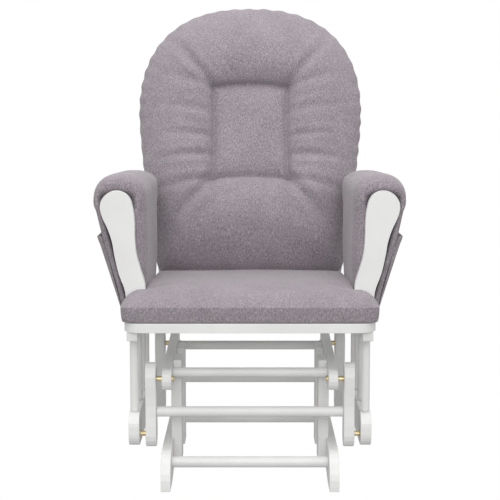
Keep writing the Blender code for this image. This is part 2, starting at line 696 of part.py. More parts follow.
def paddle(side_name, side):
    """The front arm support: a round head on a neck that leans in to the seat."""
    foot_z = SEAT_TOP + GAP
    foot_outer = BOARD_HALF - 0.001
    foot_inner = SEAT_PAD_HALF + PADDLE_FOOT_GAP
    head = PADDLE_HEAD
    outline = [(foot_inner, foot_z), (foot_outer, foot_z)]
    outline += [(PADDLE_X - 0.017, PADDLE_Z - 0.176), (PADDLE_X - 0.004, PADDLE_Z - 0.137),
                (PADDLE_X + 0.005, PADDLE_Z - 0.096), (PADDLE_X + 0.009, PADDLE_Z - 0.072),
                (PADDLE_X + 0.018, PADDLE_Z - 0.044), (PADDLE_X + 0.030, PADDLE_Z - 0.016)]
    outline += arc((PADDLE_X, PADDLE_Z), (head, head), 5, 175, 6)
    outline += [(PADDLE_X - 0.037, PADDLE_Z - 0.028), (PADDLE_X - 0.0375, PADDLE_Z - 0.062),
                (PADDLE_X - 0.041, PADDLE_Z - 0.100), (PADDLE_X - 0.0495, PADDLE_Z - 0.131),
                (PADDLE_X - 0.0575, PADDLE_Z - 0.160)]
    where = front_view((PADDLE_FRONT + PADDLE_REAR) / 2)
    board = plate("paddle_" + side_name, mirror(outline, side), PADDLE_BOARD, where,
                  smooth_curve=True, corners=(0, 1))
    return finish(ease(board, 0.0020), WHITE_PAINT)


def back_y_at(z, forward=0.0):
    """World Y of the plane this far in front of the hoop's face, at a height."""
    return BACK_Y + (z - SEAT_TOP) * math.tan(RECLINE) - forward / math.cos(RECLINE)


def armrest(side_name, side):
    """The board inside the arm pad, from the paddle to the outside of the hoop."""
    hoop_top_contact = (ARMREST_TOP - SEAT_TOP) / math.cos(RECLINE)
    inner = back_half(hoop_top_contact + HOOP_THICK) + GAP
    low_x, high_x = sorted((side * inner, side * ARMREST_OUTER))
    rest = box("armrest_" + side_name,
               (low_x, PADDLE_REAR + GAP, ARMREST_TOP - ARMREST_THICK),
               (high_x, back_y_at(ARMREST_TOP) + ARMREST_BEHIND, ARMREST_TOP))
    return finish(ease(rest, 0.0025), WHITE_PAINT)


def flap_outer_x(z):
    """Outer face of the arm pad's outer flap, which leans in to the seat."""
    share = (z - PAD_OUTER_LOW) / (PAD_SHOULDER - PAD_OUTER_LOW)
    low_x = BOARD_HALF + PAD_LOW_PAST_BOARD
    return low_x + (PAD_OUTER - low_x) * share


def pad_section():
    """The arm pad's section seen from the front: a thick saddle with two flaps."""
    rise = PAD_TOP - PAD_SHOULDER
    low_x = flap_outer_x(PAD_OUTER_LOW)
    outline = [(low_x - PAD_FLAP, PAD_OUTER_LOW), (low_x, PAD_OUTER_LOW)]
    outline += arc((PAD_MIDDLE, PAD_SHOULDER), (PAD_HALF, rise), 0, 180, 12)
    outline += [(PAD_INNER, PAD_INNER_LOW), (PAD_INNER + PAD_FLAP, PAD_INNER_LOW)]
    roof = ARMREST_TOP + PAD_CAVITY_PLAY
    wall_in = PAD_INNER + PAD_FLAP
    wall_out = PAD_OUTER - PAD_FLAP
    corner = PAD_CAVITY_CORNER
    outline += arc((wall_in + corner, roof - corner), (corner, corner), 180, 90, 3)
    outline += arc((wall_out - corner, roof - corner), (corner, corner), 90, 0, 3)
    return outline


def arm_pad(side_name, side):
    """A padded saddle over the armrest, its rear end cut to the back's slope."""
    front = PADDLE_REAR + CUSHION_GAP
    rear = back_y_at(SEAT_TOP, BACK_SLAT_THICK + BACK_PAD_THICK) - PAD_REAR_CLEAR
    where = front_view((front + rear) / 2)
    pad = plate("arm_pad_" + side_name, mirror(pad_section(), side), rear - front, where)
    slope = math.tan(RECLINE)
    for vertex in pad.data.vertices:
        if vertex.co.z < 0:
            vertex.co.z -= (vertex.co.y - SEAT_TOP) * slope
    return finish(ease(pad, 0.0040), FABRIC)


def pocket(side_name, side):
    """A patch pocket on the outer flap, open at its mouth."""
    front = PADDLE_REAR + CUSHION_GAP + POCKET_INSET
    inner_low = flap_outer_x(POCKET_LOW) + GAP
    inner_high = flap_outer_x(POCKET_MOUTH) + GAP
    outline = [(inner_low, POCKET_LOW), (inner_low + POCKET_LOW_THICK, POCKET_LOW),
               (inner_high + POCKET_MOUTH_OPEN, POCKET_MOUTH), (inner_high, POCKET_MOUTH)]
    where = front_view(front + POCKET_LONG / 2)
    bag = plate("arm_pocket_" + side_name, mirror(outline, side), POCKET_LONG, where)
    lean_in = (inner_high - inner_low) / (POCKET_MOUTH - POCKET_LOW)
    lean_out = lean_in + (POCKET_MOUTH_OPEN - POCKET_LOW_THICK) / (POCKET_MOUTH - POCKET_LOW)
    floor = POCKET_LOW + POCKET_WALL
    over = POCKET_MOUTH + 0.020
    base_out = inner_low + POCKET_LOW_THICK - POCKET_WALL
    hollow = [(inner_low + lean_in * POCKET_WALL - 0.004, floor),
              (base_out + lean_out * POCKET_WALL, floor),
              (base_out + lean_out * (over - POCKET_LOW), over),
              (inner_low + lean_in * (over - POCKET_LOW) - 0.004, over)]
    cut(bag, plate("pocket_hollow_" + side_name, mirror(hollow, side),
                   POCKET_LONG - 2 * POCKET_WALL, where))
    return finish(bag, FABRIC)


# ------------------------------------------------------------------- cushions


def seat_cushion():
    """A T-shaped cushion whose ears wrap in front of the paddles."""
    ear_rear = PADDLE_FRONT - CUSHION_GAP
    notch = SEAT_PAD_NOTCH
    front = SEAT_PAD_FRONT
    half = SEAT_PAD_HALF
    ear = SEAT_PAD_EAR
    rear = SEAT_PAD_REAR
    corner = SEAT_PAD_CORNER
    right = arc((half - corner, rear - corner), (corner, corner), 90, 0, 4)
    right += [(half, ear_rear + notch), (half + notch, ear_rear), (ear - notch, ear_rear)]
    right += arc((ear - corner, front + corner * 0.75), (corner, corner * 0.75), 0, -90, 4)
    outline = right + [(-x, y) for x, y in reversed(right)]
    middle = SEAT_TOP + CUSHION_GAP + SEAT_PAD_THICK / 2
    pad = plate("seat_cushion", outline, SEAT_PAD_THICK, plan_view(middle))
    return finish(ease(pad, SEAT_PAD_EDGE, 3), FABRIC)


def back_cushion():
    """The tall back cushion, as wide as the hoop and resting on its slats."""
    forward = GAP + BACK_SLAT_THICK + CUSHION_GAP + BACK_PAD_THICK / 2
    outline = back_edge(BACK_PAD_LOW, BACK_PAD_INSET)
    pad = plate("back_cushion", outline, BACK_PAD_THICK, back_view(forward))
    return finish(ease(pad, BACK_PAD_EDGE, 3), FABRIC)


# -------------------------------------------------------------------- assembly


def build():
    """Make every piece and hang the moving ones on their axes."""
    front_arms = []
    rear_arms = []
    seat = []
    for side_name, side in SIDES:
        foot(side_name, side)
        base_rail(side_name, side)
        for end, middle in UPRIGHT_MIDDLES:
            upright(end, middle, side_name, side)
        for end, pivot in (("front", UP_FRONT), ("rear", UP_REAR)):
            pivot_bolt("pivot_upper_" + end + "_" + side_name, side, pivot,
                       BASE_INNER, ARM_OUTER, headed=True)
        front_arms.append(swing_arm("front", UP_FRONT, LOW_FRONT, side_name, side))
        rear_arms.append(swing_arm("rear", UP_REAR, LOW_REAR, side_name, side))
        for end, pivot in (("front", LOW_FRONT), ("rear", LOW_REAR)):
            seat.append(pivot_bolt("pivot_lower_" + end + "_" + side_name, side, pivot,
                                   ARM_INNER, LOW_RAIL_OUTER, headed=False))
        seat.append(low_rail(side_name, side))
        first = LOW_FRONT.y - LOW_RAIL_OVERHANG + SPINDLE_INSET
        last = LOW_REAR.y + LOW_RAIL_OVERHANG - SPINDLE_INSET
        for number in range(SPINDLES):
            y = first + (last - first) * number / (SPINDLES - 1)
            seat.append(spindle(number + 1, y, side_name, side))
        seat.append(side_rail(side_name, side))
        seat.append(paddle(side_name, side))
        seat.append(armrest(side_name, side))
        seat.append(arm_pad(side_name, side))
        seat.append(pocket(side_name, side))
    base_dowels()
    front_arms.append(tie_dowel("front", UP_FRONT, LOW_FRONT, TIE_FRONT_RISE))
    rear_arms.append(tie_dowel("rear", UP_REAR, LOW_REAR, TIE_REAR_RISE))
    seat += seat_boards()
    seat += back_frame()
    seat.append(seat_cushion())
    seat.append(back_cushion())
    hang(front_arms, axis_empty("front_swing_axis", UP_FRONT))
    hang(rear_arms, axis_empty("rear_swing_axis", UP_REAR))
    hang(seat, axis_empty("seat_pivot_axis", LOW_FRONT))


build()
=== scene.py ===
# %% [markdown]
# # A glider nursery chair
# The chair is a painted beech frame that hangs on four swing arms, with five
# sewn pieces on it: a seat cushion, a tufted back cushion, two saddle-shaped
# arm pads and the pockets on them. The wood and the bolts come from the CAD
# model, which is loaded first and never moved. The lesson gives them finishes
# and sews the soft pieces around them, in metres, in the same frame.

# %% Load the frame
import json
import math

import bmesh
import bpy
import numpy as np
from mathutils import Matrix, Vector


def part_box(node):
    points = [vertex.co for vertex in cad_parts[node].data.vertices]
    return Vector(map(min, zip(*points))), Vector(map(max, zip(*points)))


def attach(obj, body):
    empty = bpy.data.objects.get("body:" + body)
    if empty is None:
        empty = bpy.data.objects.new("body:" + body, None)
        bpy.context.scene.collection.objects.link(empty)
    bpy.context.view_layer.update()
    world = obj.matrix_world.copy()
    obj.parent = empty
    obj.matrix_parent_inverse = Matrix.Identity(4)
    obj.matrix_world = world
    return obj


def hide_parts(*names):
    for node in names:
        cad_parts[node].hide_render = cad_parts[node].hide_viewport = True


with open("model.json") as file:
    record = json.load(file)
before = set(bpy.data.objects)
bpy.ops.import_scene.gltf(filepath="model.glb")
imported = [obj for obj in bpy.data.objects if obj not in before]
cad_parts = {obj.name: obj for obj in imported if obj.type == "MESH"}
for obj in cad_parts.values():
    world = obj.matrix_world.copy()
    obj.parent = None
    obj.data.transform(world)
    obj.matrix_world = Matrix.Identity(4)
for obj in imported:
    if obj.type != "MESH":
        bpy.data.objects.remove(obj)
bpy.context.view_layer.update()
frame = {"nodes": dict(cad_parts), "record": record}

MM = 0.001
SIDES = (("left", -1), ("right", 1))

# %% [markdown]
# ## The camera
# A long lens, about 100 mm on a full frame, stands three metres off and a
# little above the arms. A long lens keeps the uprights parallel, as a
# catalogue picture does. The camera looks down by seven degrees.

# %% Camera
CAMERA_HEIGHT = 0.841
CAMERA_DISTANCE = 3.130
CAMERA_DOWN = 7.11          # degrees below the horizontal
LENS = 100.5                # mm, on a 36 mm wide sensor

camera_data = bpy.data.cameras.new("studio_camera")
camera_data.lens = LENS
camera_data.sensor_width = 36
camera = bpy.data.objects.new("studio_camera", camera_data)
camera.location = (0, -CAMERA_DISTANCE, CAMERA_HEIGHT)
camera.rotation_euler = (math.radians(90 - CAMERA_DOWN), 0, 0)
bpy.context.scene.collection.objects.link(camera)
bpy.context.scene.camera = camera
bpy.context.scene.view_settings.view_transform = "Standard"
print("camera at", tuple(round(value, 3) for value in camera.location))

# %% [markdown]
# ## Colours and nodes
# Paint makers and designers give colours as sRGB hex codes. The renderer
# works in linear light, so one function turns a code into linear values.
# Another adds a node with its settings and its links in one line, which
# keeps each material below readable as a recipe.


# %% Colour and node helpers
def linear(code):
    """A hex colour such as "#f2f1ee" as linear red, green, blue and alpha."""
    values = [int(code[place:place + 2], 16) / 255 for place in (1, 3, 5)]
    return tuple(v / 12.92 if v <= 0.04045 else ((v + 0.055) / 1.055) ** 2.4
                 for v in values) + (1.0,)


def add(tree, kind, inputs=None, links=None, **settings):
    """Add a node: settings on it, values on its sockets, links into its sockets."""
    node = tree.nodes.new("ShaderNode" + kind)
    for name, value in settings.items():
        setattr(node, name, value)
    for name, value in (inputs or {}).items():
        node.inputs[name].default_value = value
    for name, socket in (links or {}).items():
        tree.links.new(socket, node.inputs[name])
    return node


def ramp(node, stops):
    """Set the colours of a colour ramp from (position, hex colour) pairs."""
    elements = node.color_ramp.elements
    while len(elements) < len(stops):
        elements.new(1.0)
    for element, (position, code) in zip(elements, stops):
        element.position = position
        element.color = linear(code)
    return node


def new_material(name):
    """An empty node material with its output, ready for a recipe."""
    material = bpy.data.materials.new(name)
    material.use_nodes = True
    material.node_tree.nodes.clear()
    output = add(material.node_tree, "OutputMaterial")
    return material, material.node_tree, output


# %% [markdown]
# ## The studio
# The chair stands in a white cove: the walls, the ceiling and the floor all
# read as paper white, and the light comes from everywhere. A broad soft box
# overhead makes the upward faces a little brighter than the upright ones, and
# a weaker one in front opens the shade under the seat. The floor shows white
# to the camera and throws back less light than it shows, so that the faces
# that look down stay in shade.

# %% Studio
WALL_LIGHT = 0.78            # how bright the cove is as a light source
FLOOR_LIGHT = 0.42

world = bpy.data.worlds.new("white_cove")
bpy.context.scene.world = world
world.use_nodes = True
sky = world.node_tree
sky.nodes.clear()
seen = add(sky, "LightPath")
strength = add(sky, "MapRange", {"To Min": WALL_LIGHT, "To Max": 1.0},
               {"Value": seen.outputs["Is Camera Ray"]})
glow = add(sky, "Background", {"Color": (1, 1, 1, 1)}, {"Strength": strength.outputs["Result"]})
add(sky, "OutputWorld", links={"Surface": glow.outputs["Background"]})

floor_mesh = bpy.data.meshes.new("floor")
REACH = 30.0                  # half the floor, far past the view
corners = [(-REACH, -REACH, 0), (REACH, -REACH, 0), (REACH, REACH, 0), (-REACH, REACH, 0)]
floor_mesh.from_pydata(corners, [], [(0, 1, 2, 3)])
floor = bpy.data.objects.new("floor", floor_mesh)
floor.location.z = -0.001
bpy.context.scene.collection.objects.link(floor)
paper, tree, output = new_material("white_paper_cove")
seen = add(tree, "LightPath")
strength = add(tree, "MapRange", {"To Min": FLOOR_LIGHT, "To Max": 1.0},
               {"Value": seen.outputs["Is Camera Ray"]})
glow = add(tree, "Emission", {"Color": (1, 1, 1, 1)}, {"Strength": strength.outputs["Result"]})
tree.links.new(glow.outputs["Emission"], output.inputs["Surface"])
floor_mesh.materials.append(paper)


def light_at(name, spot, aim, width, depth, power):
    """A large rectangular light aimed at a point."""
    data = bpy.data.lights.new(name, "AREA")
    data.shape = "RECTANGLE"
    data.size, data.size_y = width, depth
    data.energy = power
    lamp = bpy.data.objects.new(name, data)
    lamp.location = spot
    lamp.rotation_euler = (Vector(aim) - Vector(spot)).to_track_quat("-Z", "Y").to_euler()
    bpy.context.scene.collection.objects.link(lamp)


light_at("overhead_box", (0, -0.5, 3.0), (0, -0.1, 0.4), 2.6, 2.2, 37)
light_at("front_box", (0, -3.6, 1.7), (0, 0, 0.5), 2.5, 1.6, 37)
print("studio: cove", WALL_LIGHT, "floor", FLOOR_LIGHT)

# %% [markdown]
# ## White satin lacquer on beech
# The frame is turned and routed beech under two sprayed coats of white
# lacquer. Spraying leaves a faint orange peel, about 6 mm from crest to crest
# and a few hundredths of a millimetre high, and the long grain of the wood
# telegraphs through as faint streaks. It gives the eye soft, wide highlights
# and a white that isn't perfectly even.


# %% White lacquer
def white_lacquer():
    material, tree, output = new_material("sprayed_white_lacquer_on_beech")
    place = add(tree, "TexCoord")
    peel = add(tree, "TexNoise", {"Scale": 1 / (6 * MM), "Detail": 2.0, "Roughness": 0.5},
               {"Vector": place.outputs["Object"]})
    stretch = add(tree, "Mapping", {"Scale": (1.0, 0.08, 0.08)},
                  {"Vector": place.outputs["Object"]})
    grain = add(tree, "TexNoise", {"Scale": 1 / (2.5 * MM), "Detail": 3.0, "Distortion": 0.4},
                {"Vector": stretch.outputs["Vector"]})
    cloud = add(tree, "TexNoise", {"Scale": 1 / (90 * MM), "Detail": 2.0},
                {"Vector": place.outputs["Object"]})
    tint = ramp(add(tree, "ValToRGB", links={"Fac": cloud.outputs["Fac"]}),
                ((0.3, "#e9e9e8"), (0.7, "#f0f0ef")))
    streak = add(tree, "MixRGB", {"Fac": 0.05, "Color2": linear("#d8d5cf")},
                 {"Color1": tint.outputs["Color"]}, blend_type="MULTIPLY")
    rough = add(tree, "MapRange", {"From Min": 0.3, "From Max": 0.7, "To Min": 0.34, "To Max": 0.44},
                {"Value": grain.outputs["Fac"]})
    lift = add(tree, "Math", {1: 0.35}, {0: grain.outputs["Fac"]}, operation="MULTIPLY")
    height = add(tree, "Math", links={0: peel.outputs["Fac"], 1: lift.outputs["Value"]},
                 operation="ADD")
    bump = add(tree, "Bump", {"Strength": 0.25, "Distance": 0.12 * MM},
               {"Height": height.outputs["Value"]})
    shader = add(tree, "BsdfPrincipled", {"IOR": 1.5, "Metallic": 0.0},
                 {"Base Color": streak.outputs["Color"], "Roughness": rough.outputs["Result"],
                  "Normal": bump.outputs["Normal"]})
    tree.links.new(shader.outputs["BSDF"], output.inputs["Surface"])
    return material


LACQUER = white_lacquer()

# %% [markdown]
# ## Brass-plated steel
# The pivot bolts and their spacers are steel with a bright brass-coloured
# plating. Turning marks run round the shank and the plating pools slightly
# along them, so the highlight breaks into fine rings about half a millimetre
# apart.


# %% Brass plate
def brass_plate():
    material, tree, output = new_material("bright_brass_plated_steel")
    place = add(tree, "TexCoord")
    rings = add(tree, "TexWave", {"Scale": 1 / (4 * MM), "Distortion": 0.6, "Detail": 2.0},
                {"Vector": place.outputs["Object"]}, bands_direction="X")
    cloud = add(tree, "TexNoise", {"Scale": 1 / (3 * MM), "Detail": 3.0},
                {"Vector": place.outputs["Object"]})
    colour = ramp(add(tree, "ValToRGB", links={"Fac": cloud.outputs["Fac"]}),
                  ((0.3, "#e6d09a"), (0.7, "#f7e8c0")))
    rough = add(tree, "MapRange", {"To Min": 0.22, "To Max": 0.38}, {"Value": cloud.outputs["Fac"]})
    bump = add(tree, "Bump", {"Strength": 0.3, "Distance": 0.05 * MM},
               {"Height": rings.outputs["Fac"]})
    shader = add(tree, "BsdfPrincipled", {"Metallic": 1.0},
                 {"Base Color": colour.outputs["Color"], "Roughness": rough.outputs["Result"],
                  "Normal": bump.outputs["Normal"]})
    tree.links.new(shader.outputs["BSDF"], output.inputs["Surface"])
    return material


BRASS = brass_plate()

# %% [markdown]
# ## Heather weave
# The covers are a plain weave of mélange yarn: mauve-grey polyester spun
# together with paler and darker fibres. The threads cross about every 1.6 mm;
# here they are drawn every 3.4 mm, because finer ones would not show. Short
# flecks of pale grey and dusky pink lie along the threads. Each thread stands
# up by a fraction of a millimetre, and loose fibres catch the light at the
# rims, which is what the sheen is for.


# %% Heather fabric
THREAD_PITCH = 3.4 * MM       # drawn coarser than the real 1.6 mm, so that it shows


def heather(name, dark, middle, light):
    material, tree, output = new_material(name)
    place = add(tree, "TexCoord")
    axes = add(tree, "SeparateXYZ", links={"Vector": place.outputs["Object"]})
    across = add(tree, "Math", links={0: axes.outputs["X"], 1: axes.outputs["Y"]}, operation="ADD")
    along = add(tree, "Math", links={0: axes.outputs["Z"], 1: axes.outputs["Y"]}, operation="ADD")
    waves = []
    for direction in (across, along):
        phase = add(tree, "Math", {1: 2 * math.pi / THREAD_PITCH}, {0: direction.outputs["Value"]},
                    operation="MULTIPLY")
        waves.append(add(tree, "Math", links={0: phase.outputs["Value"]}, operation="SINE"))
    weave = add(tree, "Math", links={0: waves[0].outputs["Value"], 1: waves[1].outputs["Value"]},
                operation="MULTIPLY")
    squeeze = add(tree, "Mapping", {"Scale": (1.0, 1.0, 0.45)}, {"Vector": place.outputs["Object"]})
    flecks = add(tree, "TexNoise", {"Scale": 1 / (2.1 * MM), "Detail": 2.0, "Roughness": 0.7},
                 {"Vector": squeeze.outputs["Vector"]})
    pink = add(tree, "TexNoise", {"Scale": 1 / (3.0 * MM), "Detail": 1.0},
               {"Vector": place.outputs["Object"]})
    cloud = add(tree, "TexNoise", {"Scale": 1 / (60 * MM), "Detail": 3.0},
                {"Vector": place.outputs["Object"]})
    mix = add(tree, "MapRange", {"From Min": -1.0, "From Max": 1.0, "To Min": -0.10, "To Max": 0.10},
              {"Value": weave.outputs["Value"]})
    level = add(tree, "Math", links={0: flecks.outputs["Fac"], 1: mix.outputs["Result"]},
                operation="ADD")
    yarn = ramp(add(tree, "ValToRGB", links={"Fac": level.outputs["Value"]}),
                ((0.28, dark), (0.5, middle), (0.74, light)))
    blush = add(tree, "MapRange", {"From Min": 0.52, "From Max": 0.72, "To Min": 0.0, "To Max": 0.4},
                {"Value": pink.outputs["Fac"]})
    rosy = add(tree, "MixRGB", {"Color2": linear("#9e8e98")},
               {"Fac": blush.outputs["Result"], "Color1": yarn.outputs["Color"]})
    shade = add(tree, "MapRange", {"From Min": 0.3, "From Max": 0.7, "To Min": 0.94, "To Max": 1.06},
                {"Value": cloud.outputs["Fac"]})
    colour = add(tree, "VectorMath", links={0: rosy.outputs["Color"], 1: shade.outputs["Result"]},
                 operation="MULTIPLY")
    height = add(tree, "Math", links={0: level.outputs["Value"], 1: mix.outputs["Result"]},
                 operation="ADD")
    bump = add(tree, "Bump", {"Strength": 0.55, "Distance": 0.7 * MM},
               {"Height": height.outputs["Value"]})
    shader = add(tree, "BsdfPrincipled",
                 {"Roughness": 0.92, "IOR": 1.46, "Specular IOR Level": 0.25,
                  "Sheen Weight": 0.25, "Sheen Roughness": 0.45},
                 {"Base Color": colour.outputs["Vector"], "Normal": bump.outputs["Normal"]})
    tree.links.new(shader.outputs["BSDF"], output.inputs["Surface"])
    return material


COVER = heather("heather_weave_mauve_grey", "#746c72", "#938b91", "#b5b0b5")
print("finishes:", ", ".join(item.name for item in (LACQUER, BRASS, COVER)))

# %% [markdown]
# ## Dress the frame
# Each wooden piece and each bolt keeps its CAD shape. Its faces are shaded
# smoothly up to the routed edges, and its slot takes the finish that the
# record names for it.

# %% Finish the wood and the bolts
FINISHES = {"white_wood": LACQUER, "brass": BRASS, "fabric": COVER}
slot_of = {part["node"]: part["material_slot"] for part in frame["record"]["subparts"]}
for name, node in frame["nodes"].items():
    node.data.materials.clear()
    node.data.materials.append(FINISHES[slot_of[name]])
    node.data.polygons.foreach_set("use_smooth", [True] * len(node.data.polygons))
    node.data.set_sharp_from_angle(angle=math.radians(32))
print("dressed", len(frame["nodes"]), "CAD nodes")

# %% [markdown]
# ## Ways to make cloth
# A sewn cover is a closed skin of rings. The first helper joins rings of
# points into such a skin. The next two measure how far points lie from a
# seam or a rim, because stuffing swells with the distance from what holds it.
# The last gives a piece its cover, its body and its place in the model.


# %% Skin of rings
def skin(name, rings, poles=False, caps=None):
    """Quads between closed rings of points, with a point or a band at each end."""
    rings = np.asarray(rings, float)
    count, around = rings.shape[:2]
    verts = rings.reshape(-1, 3).tolist()
    faces = []
    for ring in range(count - 1):
        low, high = ring * around, (ring + 1) * around
        for step in range(around):
            after = (step + 1) % around
            faces.append((low + step, low + after, high + after, high + step))
    if poles:
        for ring, turn in ((0, True), (count - 1, False)):
            verts.append(rings[ring].mean(0).tolist())
            tip, start = len(verts) - 1, ring * around
            for step in range(around):
                after = (step + 1) % around
                corner = (start + after, start + step) if turn else (start + step, start + after)
                faces.append(corner + (tip,))
    if caps == "band":
        half = around // 2
        for ring, turn in ((0, True), (count - 1, False)):
            start = ring * around
            for step in range(half - 1):
                quad = (start + step, start + step + 1,
                        start + around - 2 - step, start + around - 1 - step)
                faces.append(quad[::-1] if turn else quad)
    mesh = bpy.data.meshes.new(name)
    mesh.from_pydata(verts, [], faces)
    mesh.validate()
    return mesh


# %% Turn the faces outward
def outward(mesh):
    """Turn every face of a closed mesh to the outside."""
    work = bmesh.new()
    work.from_mesh(mesh)
    bmesh.ops.recalc_face_normals(work, faces=work.faces)
    work.to_mesh(mesh)
    work.free()


# %% Measure from a drawn line
def from_line(points, line, closed=True):
    """Distance of each point (rows of two numbers) from a drawn line."""
    points = np.asarray(points, float)
    starts = np.asarray(line, float)
    ends = np.roll(starts, -1, 0) if closed else starts[1:]
    starts = starts if closed else starts[:-1]
    nearest = np.full(len(points), np.inf)
    for start, end in zip(starts, ends):
        run = end - start
        share = np.clip(((points - start) @ run) / max(run @ run, 1e-12), 0, 1)
        gap = points - start - share[:, None] * run
        nearest = np.minimum(nearest, np.hypot(gap[:, 0], gap[:, 1]))
    return nearest


# %% A fold in the cloth
def crease(points, start, end, depth, width):
    """How far a fold pulls the cloth in: deepest at its start, fading to its end."""
    points = np.asarray(points, float)
    start, end = np.asarray(start, float), np.asarray(end, float)
    run = end - start
    share = ((points - start) @ run) / (run @ run)
    inside = np.clip(share, 0, 1)
    gap = points - start - inside[:, None] * run
    away = np.hypot(gap[:, 0], gap[:, 1])
    fade = (1 - inside) ** 0.8 * (0.4 + 0.6 * np.clip(inside / 0.22, 0, 1))
    fold = np.exp(-(away / width) ** 2)
    lip = 0.35 * np.exp(-((away - 2 * width) / width) ** 2)
    return depth * fade * (fold - lip)


# %% Sew a piece into the chair
def sewn(name, mesh, nodes):
    """Put a soft piece in the chair, in the place of its CAD solids."""
    outward(mesh)
    mesh.polygons.foreach_set("use_smooth", [True] * len(mesh.polygons))
    mesh.materials.append(COVER)
    piece = bpy.data.objects.new(name, mesh)
    bpy.context.scene.collection.objects.link(piece)
    soft = piece.modifiers.new("soften", "SUBSURF")
    soft.levels = soft.render_levels = 1
    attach(piece, "seat")
    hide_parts(*nodes)
    print(name, "has", len(mesh.vertices), "points")


# %% [markdown]
# ## The reclined back
# The back leans by about twenty degrees, so its cushion is drawn on the slope
# itself: across, up the slope, and out from the hoop's front face. The slope
# is read from the middle slat, whose longest direction is the slope and whose
# rear face lies against the hoop.

# %% The slope of the back
slat = np.array([vertex.co[:] for vertex in frame["nodes"]["back_slat_2"].data.vertices])
slope = np.linalg.svd(slat - slat.mean(0), full_matrices=False)[2][0]
slope = slope * np.sign(slope[2])
out = np.array((0.0, -slope[2], slope[1]))
SEAT_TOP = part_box("seat_board_front")[1].z
hoop_face = (slat @ out).min() - 0.3 * MM
BACK_FOOT = np.array((0.0, (out[2] * SEAT_TOP - hoop_face) / -out[1], SEAT_TOP))
SLAT_FRONT = (slat @ out).max() - BACK_FOOT @ out
print("the back leans", round(math.degrees(math.asin(slope[1])), 2), "degrees; slats to",
      round(SLAT_FRONT, 4))


def on_back(across, up, forward):
    """Points in the chair from places on the back's slope."""
    across, up, forward = np.broadcast_arrays(across, up, forward)
    return (BACK_FOOT + across[..., None] * np.array((1.0, 0.0, 0.0))
            + up[..., None] * slope + forward[..., None] * out)


# %% [markdown]
# ## The back cushion
# Two panels of cloth are sewn together round a knife edge and stuffed with
# fibre. A rectangle is then stitched right through the middle, which pulls a
# flat panel in and leaves a fat ring round it. Stuffing swells most half way
# between the stitching and the rim. Folds run from the four corners of the
# panel, where the cloth is pulled hardest, and the long curved rim gathers
# into short puckers. The height of the cloth is worked out from those
# distances, point by point, and no flat area is left except where the cushion
# rests on the slats.

# %% Outline of the back cushion
BACK_WIDE = 0.265            # half its width, at the widest
BACK_LOW_WIDE = 0.209        # half its width at the seat
WIDE_UP = 0.415              # how far up the slope it is widest
BACK_TOP = 0.6800
BACK_BOTTOM = 0.030
CROWN = 2.4                  # how square the top's curve is
PUCKER = 37 * MM             # from one gather of the rim to the next
PANEL_HALF = 0.090
PANEL_TOP = 0.4786
PANEL_LOW = 0.2496
PANEL_DEEP = 0.080           # from the hoop to the stitched panel
RIM_DEEP = 0.052             # from the hoop to the rim's seam
SWELL = 0.041                # how far the ring stands out between the two
LOW_CORNER = 0.010


def back_outline(steps=60):
    """The rim, from the lower right, over the top, to the lower left."""
    right = []
    for step in range(steps):
        up = BACK_BOTTOM + (WIDE_UP - BACK_BOTTOM) * step / steps
        share = (WIDE_UP - up) / WIDE_UP
        right.append((BACK_WIDE - (BACK_WIDE - BACK_LOW_WIDE) * share ** 1.34, up))
    for step in range(steps):
        angle = math.pi / 2 * step / steps
        right.append((BACK_WIDE * math.cos(angle) ** (2 / CROWN),
                      WIDE_UP + (BACK_TOP - WIDE_UP) * math.sin(angle) ** (2 / CROWN)))
    low = []
    for step in range(9):
        angle = math.radians(-90 + 10 * step)
        low.append((right[0][0] - LOW_CORNER + LOW_CORNER * math.cos(angle),
                    BACK_BOTTOM + LOW_CORNER + LOW_CORNER * math.sin(angle)))
    right = low + [point for point in right if point[1] > BACK_BOTTOM + LOW_CORNER]
    return np.array(right + [(0.0, BACK_TOP)] + [(-x, up) for x, up in right[::-1]])


RIM = back_outline()
print("rim of", len(RIM), "points")


# %% Shape of the back cushion
def panel_gap(x, up):
    """How far out of the stitched rectangle a point is, sideways and along the slope."""
    top = PANEL_TOP - 0.0100 * (x / PANEL_HALF) ** 2
    low = PANEL_LOW - 0.0073 * (x / PANEL_HALF) ** 2
    waist = 0.004 * np.cos(math.pi * np.clip((up - 0.36) / 0.23, -0.5, 0.5))
    return np.abs(x) - PANEL_HALF + waist, np.maximum(up - top, low - up)


